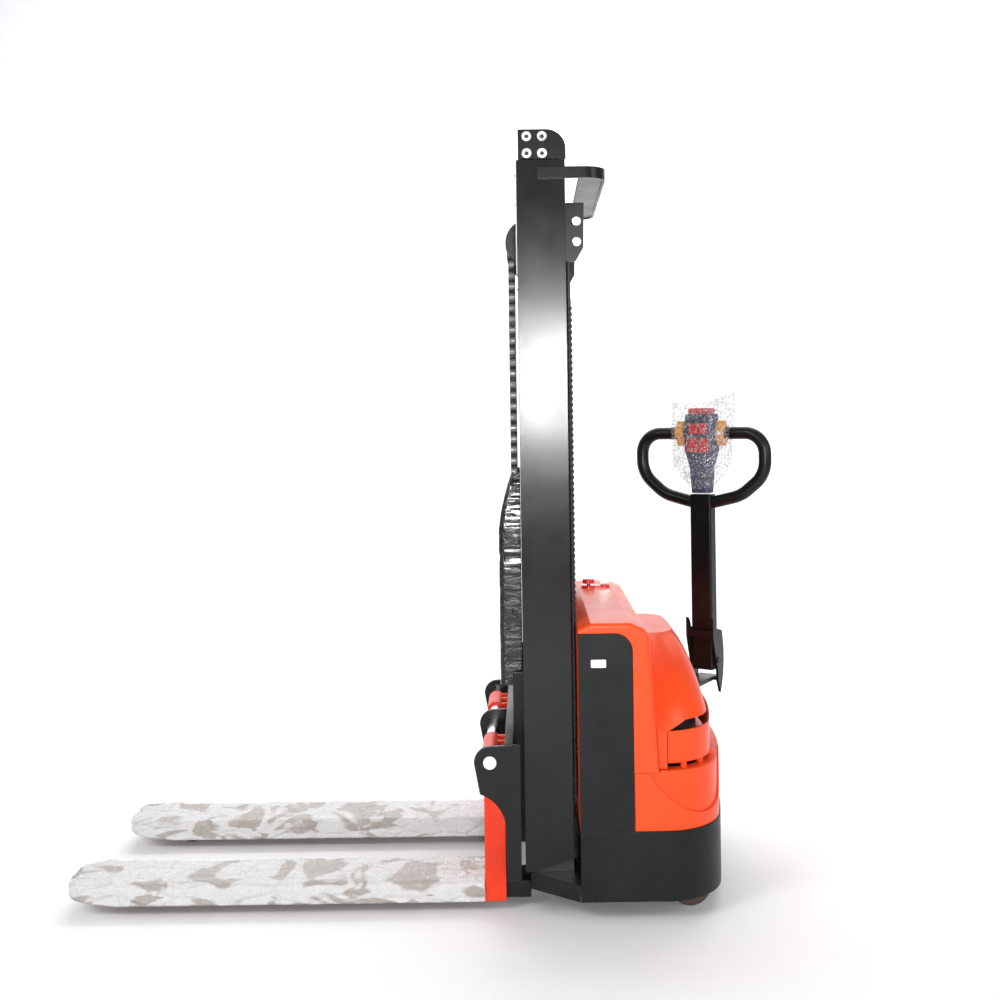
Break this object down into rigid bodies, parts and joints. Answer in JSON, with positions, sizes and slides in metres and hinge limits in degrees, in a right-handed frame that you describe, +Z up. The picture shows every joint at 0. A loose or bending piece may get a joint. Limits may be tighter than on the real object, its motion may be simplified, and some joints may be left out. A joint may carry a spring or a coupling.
{
  "type": "walkie stacker",
  "caption": "Pedestrian electric pallet stacker with a two-stage lifting mast, paired forks over support legs, a steered tiller with a looped handle and packing film still on it",
  "frame": {"origin": "middle of the truck's length and width, on the floor", "axes": "+Z up, -X towards the fork tips, +X towards the operator, -Y is the truck's left side"},
  "size_m": [2.0168, 0.8508, 2.116],
  "materials": {
    "orange_cover": "smooth",
    "orange_steel": "smooth",
    "black_steel": "satin",
    "black_plastic": "satin",
    "charcoal_plastic": "satin",
    "red_plastic": "gloss",
    "yellow_plastic": "gloss",
    "chrome_steel": "polished",
    "zinc_steel": "satin",
    "dark_steel": "oiled",
    "wheel_tyre": "matte",
    "hose_rubber": "matte",
    "clear_film": "gloss",
    "black_film": "gloss",
    "battery_case": "matte",
    "motor_metal": "satin",
    "label_white": "smooth"
  },
  "bodies": {
    "chassis": {"base_skirt": "black_plastic", "battery": "battery_case", "battery_cover": "orange_cover", "bracket_bolts": "zinc_steel", "chassis_frame": "black_steel", "cylinder_brackets": "black_steel", "data_plate": "label_white", "hood_collar": "orange_cover", "hood_lower": "orange_cover", "hood_upper": "orange_cover", "hydraulic_unit": "motor_metal", "leg_left": "black_steel", "leg_right": "black_steel", "lift_cylinders": "black_steel", "lift_hoses": "hose_rubber", "outer_channel_left": "black_steel", "outer_channel_right": "black_steel", "outer_ties": "black_steel", "side_panels": "black_plastic", "switch_base": "red_plastic", "top_tie": "black_steel", "wheel_axles": "dark_steel", "chain_rear_fixed": "dark_steel"},
    "load_wheel_l": {"load_wheel_left": "wheel_tyre"},
    "load_wheel_r": {"load_wheel_right": "wheel_tyre"},
    "steering": {"drive_unit": "motor_metal", "tiller_bracket": "black_steel"},
    "drive_wheel_body": {"drive_wheel": "wheel_tyre"},
    "tiller": {"tiller_arm": "black_steel", "handle_loop": "black_steel", "control_head": "charcoal_plastic", "head_bubble_wrap": "clear_film"},
    "throttle": {"throttle_paddles": "yellow_plastic"},
    "lift_button_body": {"lift_button": "red_plastic"},
    "lower_button_body": {"lower_button": "red_plastic"},
    "belly": {"belly_switch": "red_plastic"},
    "stop_button": {"emergency_stop_button": "red_plastic"},
    "key_body": {"key": "zinc_steel"},
    "caster_l": {"caster_fork_left": "dark_steel"},
    "caster_r": {"caster_fork_right": "dark_steel"},
    "caster_wheel_l": {"caster_wheel_left": "wheel_tyre"},
    "caster_wheel_r": {"caster_wheel_right": "wheel_tyre"},
    "inner_stage": {"inner_mast": "black_steel", "inner_head": "black_steel", "head_bolts": "zinc_steel", "lift_rods": "chrome_steel", "chain_front": "dark_steel", "chain_rear_moving": "dark_steel"},
    "sheaves": {"chain_sheaves": "dark_steel"},
    "mast_roller_pair": {"mast_rollers": "dark_steel"},
    "carriage": {"carriage_frame": "black_steel", "carriage_plates": "black_steel", "fork_shaft": "chrome_steel", "fork_left": "orange_steel", "fork_right": "orange_steel", "fork_film_left": "clear_film", "fork_film_right": "clear_film", "mast_film": "black_film"},
    "carriage_roller_low": {"carriage_rollers_lower": "dark_steel"},
    "carriage_roller_high": {"carriage_rollers_upper": "dark_steel"}
  },
  "joints": [
    {"name": "mast_lift", "type": "slide", "parent": "chassis", "child": "inner_stage", "axis": [0, 0, 1], "range_m": [0, 1.25]},
    {"name": "carriage_lift", "type": "slide", "parent": "inner_stage", "child": "carriage", "axis": [0, 0, 1], "range_m": [0, 1.25], "deforming": ["chain_front"]},
    {"name": "sheave_spin", "type": "hinge", "parent": "inner_stage", "child": "sheaves", "pos_m": [0.284, 0, 1.833], "axis": [0, 1, 0], "range_deg": [0, 1440]},
    {"name": "mast_roller_spin", "type": "hinge", "parent": "inner_stage", "child": "mast_roller_pair", "pos_m": [0.319, 0, 0.168], "axis": [0, 1, 0], "continuous": true},
    {"name": "carriage_roller_low_spin", "type": "hinge", "parent": "carriage", "child": "carriage_roller_low", "pos_m": [0.319, 0, 0.215], "axis": [0, 1, 0], "continuous": true},
    {"name": "carriage_roller_high_spin", "type": "hinge", "parent": "carriage", "child": "carriage_roller_high", "pos_m": [0.319, 0, 0.56], "axis": [0, 1, 0], "continuous": true},
    {"name": "load_wheel_left_spin", "type": "hinge", "parent": "chassis", "child": "load_wheel_l", "pos_m": [-0.812, -0.252, 0.035], "axis": [0, 1, 0], "continuous": true},
    {"name": "load_wheel_right_spin", "type": "hinge", "parent": "chassis", "child": "load_wheel_r", "pos_m": [-0.812, 0.252, 0.035], "axis": [0, 1, 0], "continuous": true},
    {"name": "steering", "type": "hinge", "parent": "chassis", "child": "steering", "pos_m": [0.702, 0, 0.26], "axis": [0, 0, 1], "range_deg": [-118, 2]},
    {"name": "drive_wheel_spin", "type": "hinge", "parent": "steering", "child": "drive_wheel_body", "pos_m": [0.702, 0, 0.1], "axis": [-0.848, 0.5299, 0], "continuous": true},
    {"name": "tiller_tilt", "type": "hinge", "parent": "steering", "child": "tiller", "pos_m": [0.82494, 0.19675, 0.566], "axis": [-0.848, 0.5299, 0], "range_deg": [0, 75], "stiffness_Nm_per_rad": 30, "springref_deg": -17.19},
    {"name": "throttle_turn", "type": "hinge", "parent": "tiller", "child": "throttle", "pos_m": [0.82494, 0.19675, 1.278], "axis": [-0.848, 0.5299, 0], "range_deg": [-35, 35], "stiffness_Nm_per_rad": 0.5},
    {"name": "lift_button_press", "type": "slide", "parent": "tiller", "child": "lift_button_body", "axis": [0.5299, 0.848, 0], "range_m": [0, 0.003], "stiffness_N_per_m": 600},
    {"name": "lower_button_press", "type": "slide", "parent": "tiller", "child": "lower_button_body", "axis": [0.5299, 0.848, 0], "range_m": [0, 0.003], "stiffness_N_per_m": 600},
    {"name": "belly_press", "type": "slide", "parent": "tiller", "child": "belly", "axis": [0, 0, -1], "range_m": [0, 0.005], "stiffness_N_per_m": 600},
    {"name": "emergency_stop_press", "type": "slide", "parent": "chassis", "child": "stop_button", "axis": [0, 0, -1], "range_m": [0, 0.005]},
    {"name": "key_turn", "type": "hinge", "parent": "chassis", "child": "key_body", "pos_m": [0.516, 0.262, 0.79], "axis": [0, 0, 1], "range_deg": [-60, 0]},
    {"name": "caster_left_swivel", "type": "hinge", "parent": "chassis", "child": "caster_l", "pos_m": [0.678, -0.305, 0.2], "axis": [0, 0, 1], "continuous": true},
    {"name": "caster_wheel_left_spin", "type": "hinge", "parent": "caster_l", "child": "caster_wheel_l", "pos_m": [0.7, -0.305, 0.055], "axis": [0, 1, 0], "continuous": true},
    {"name": "caster_right_swivel", "type": "hinge", "parent": "chassis", "child": "caster_r", "pos_m": [0.678, 0.305, 0.2], "axis": [0, 0, 1], "continuous": true},
    {"name": "caster_wheel_right_spin", "type": "hinge", "parent": "caster_r", "child": "caster_wheel_r", "pos_m": [0.7, 0.305, 0.055], "axis": [0, 1, 0], "continuous": true}
  ],
  "couplings": [
    {"joint": "carriage_lift", "follows": "mast_lift", "ratio": 1},
    {"joint": "sheave_spin", "follows": "mast_lift", "rad_per_m": 20}
  ]
}
